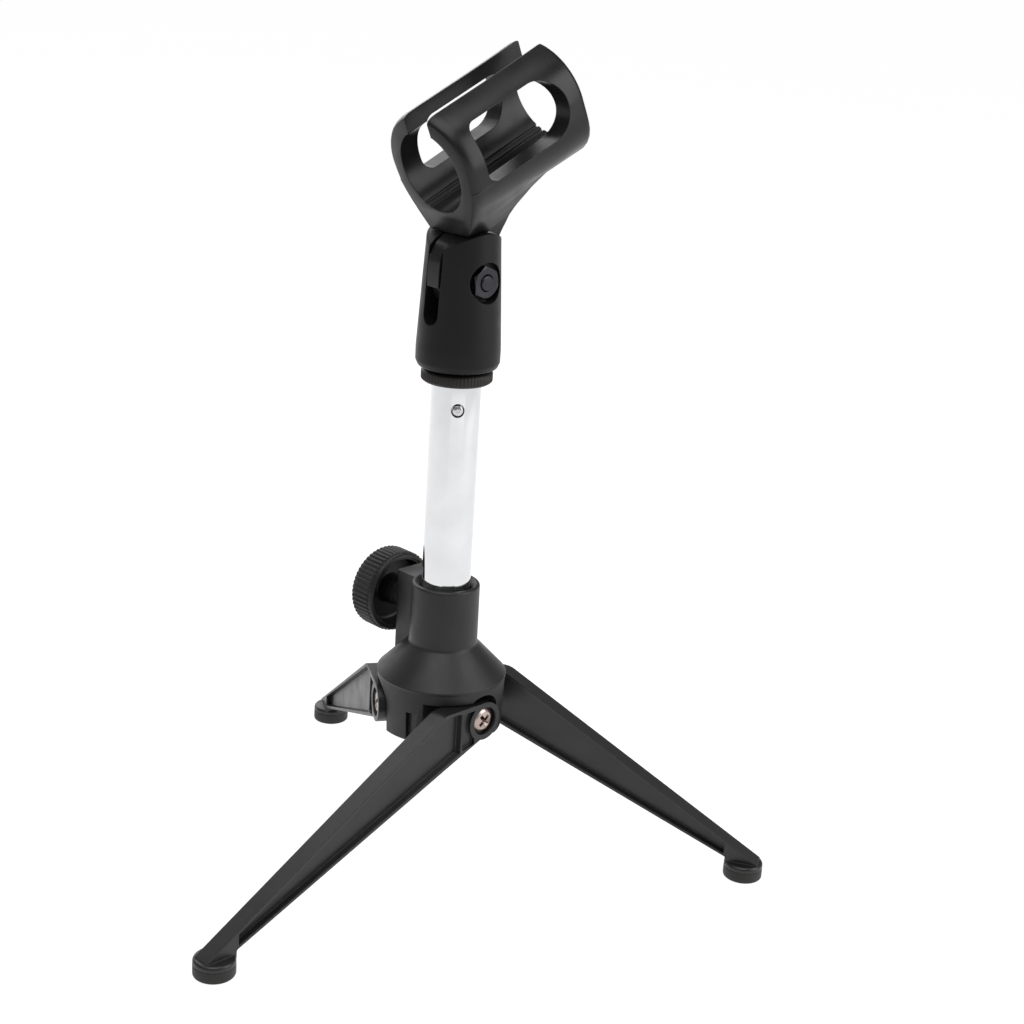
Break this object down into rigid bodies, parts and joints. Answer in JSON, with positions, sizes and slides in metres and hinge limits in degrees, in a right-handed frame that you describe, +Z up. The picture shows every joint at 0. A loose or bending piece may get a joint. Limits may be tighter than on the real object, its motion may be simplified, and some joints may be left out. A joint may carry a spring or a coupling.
{
  "type": "desktop microphone stand",
  "caption": "Folding desktop microphone stand: moulded hub with pinwheel legs, chromed column in a knob clamp, and a tilting clip for a handheld microphone.",
  "frame": {"origin": "on the table, under the middle of the stand's bounding box with the legs open", "axes": "+Z up along the column; +X along the clip's tilt axis, away from the clamp knob; +Y the way the microphone's tail points"},
  "size_m": [0.1938, 0.186, 0.2679],
  "materials": {
    "black_nylon": "satin moulded black nylon",
    "dark_nylon": "moulded black nylon, knurled",
    "chrome": "polished chrome plate",
    "rubber": "soft black rubber",
    "nickel_screw": "nickel-plated steel screw",
    "black_steel": "blackened steel",
    "zinc_steel": "zinc-plated steel",
    "brass": "turned brass"
  },
  "bodies": {
    "hub": {"hub_body": "black_nylon", "clamp_nut": "brass", "clamp_pad": "brass", "leg_screw_1": "nickel_screw", "leg_screw_2": "nickel_screw", "leg_screw_3": "nickel_screw"},
    "leg_1": {"leg_1": "black_nylon", "foot_pad_1": "rubber"},
    "leg_2": {"leg_2": "black_nylon", "foot_pad_2": "rubber"},
    "leg_3": {"leg_3": "black_nylon", "foot_pad_3": "rubber"},
    "knob": {"clamp_knob": "black_nylon", "clamp_screw": "zinc_steel"},
    "column": {"column_tube": "chrome", "column_stop": "black_nylon", "threaded_plug": "zinc_steel", "plug_screw": "zinc_steel"},
    "head": {"adapter_ring": "dark_nylon", "clip_base": "black_nylon", "tilt_bolt": "black_steel", "tilt_nut": "black_steel"},
    "clip": {"mic_clip": "black_nylon"}
  },
  "joints": [
    {"name": "leg_1_fold", "type": "hinge", "parent": "hub", "child": "leg_1", "pos_m": [0.02835, 0.01792, 0.0544], "axis": [1, 0, 0], "range_deg": [0, 62]},
    {"name": "leg_2_fold", "type": "hinge", "parent": "hub", "child": "leg_2", "pos_m": [0, 0.03428, 0.0544], "axis": [-0.5, 0.866, 0], "range_deg": [0, 62]},
    {"name": "leg_3_fold", "type": "hinge", "parent": "hub", "child": "leg_3", "pos_m": [0, 0.00155, 0.0544], "axis": [-0.5, -0.866, 0], "range_deg": [0, 62]},
    {"name": "knob_turn", "type": "hinge", "parent": "hub", "child": "knob", "pos_m": [-0.01555, 0.01792, 0.0856], "axis": [1, 0, 0], "range_deg": [-540, 0]},
    {"name": "column_slide", "type": "slide", "parent": "hub", "child": "column", "axis": [0, 0, 1], "range_m": [-0.045, 0.017]},
    {"name": "head_swivel", "type": "hinge", "parent": "column", "child": "head", "pos_m": [0.00945, 0.01792, 0.175], "axis": [0, 0, 1], "range_deg": [-180, 180]},
    {"name": "clip_tilt", "type": "hinge", "parent": "head", "child": "clip", "pos_m": [0.00945, 0.01792, 0.1974], "axis": [1, 0, 0], "range_deg": [-80, 65]}
  ]
}
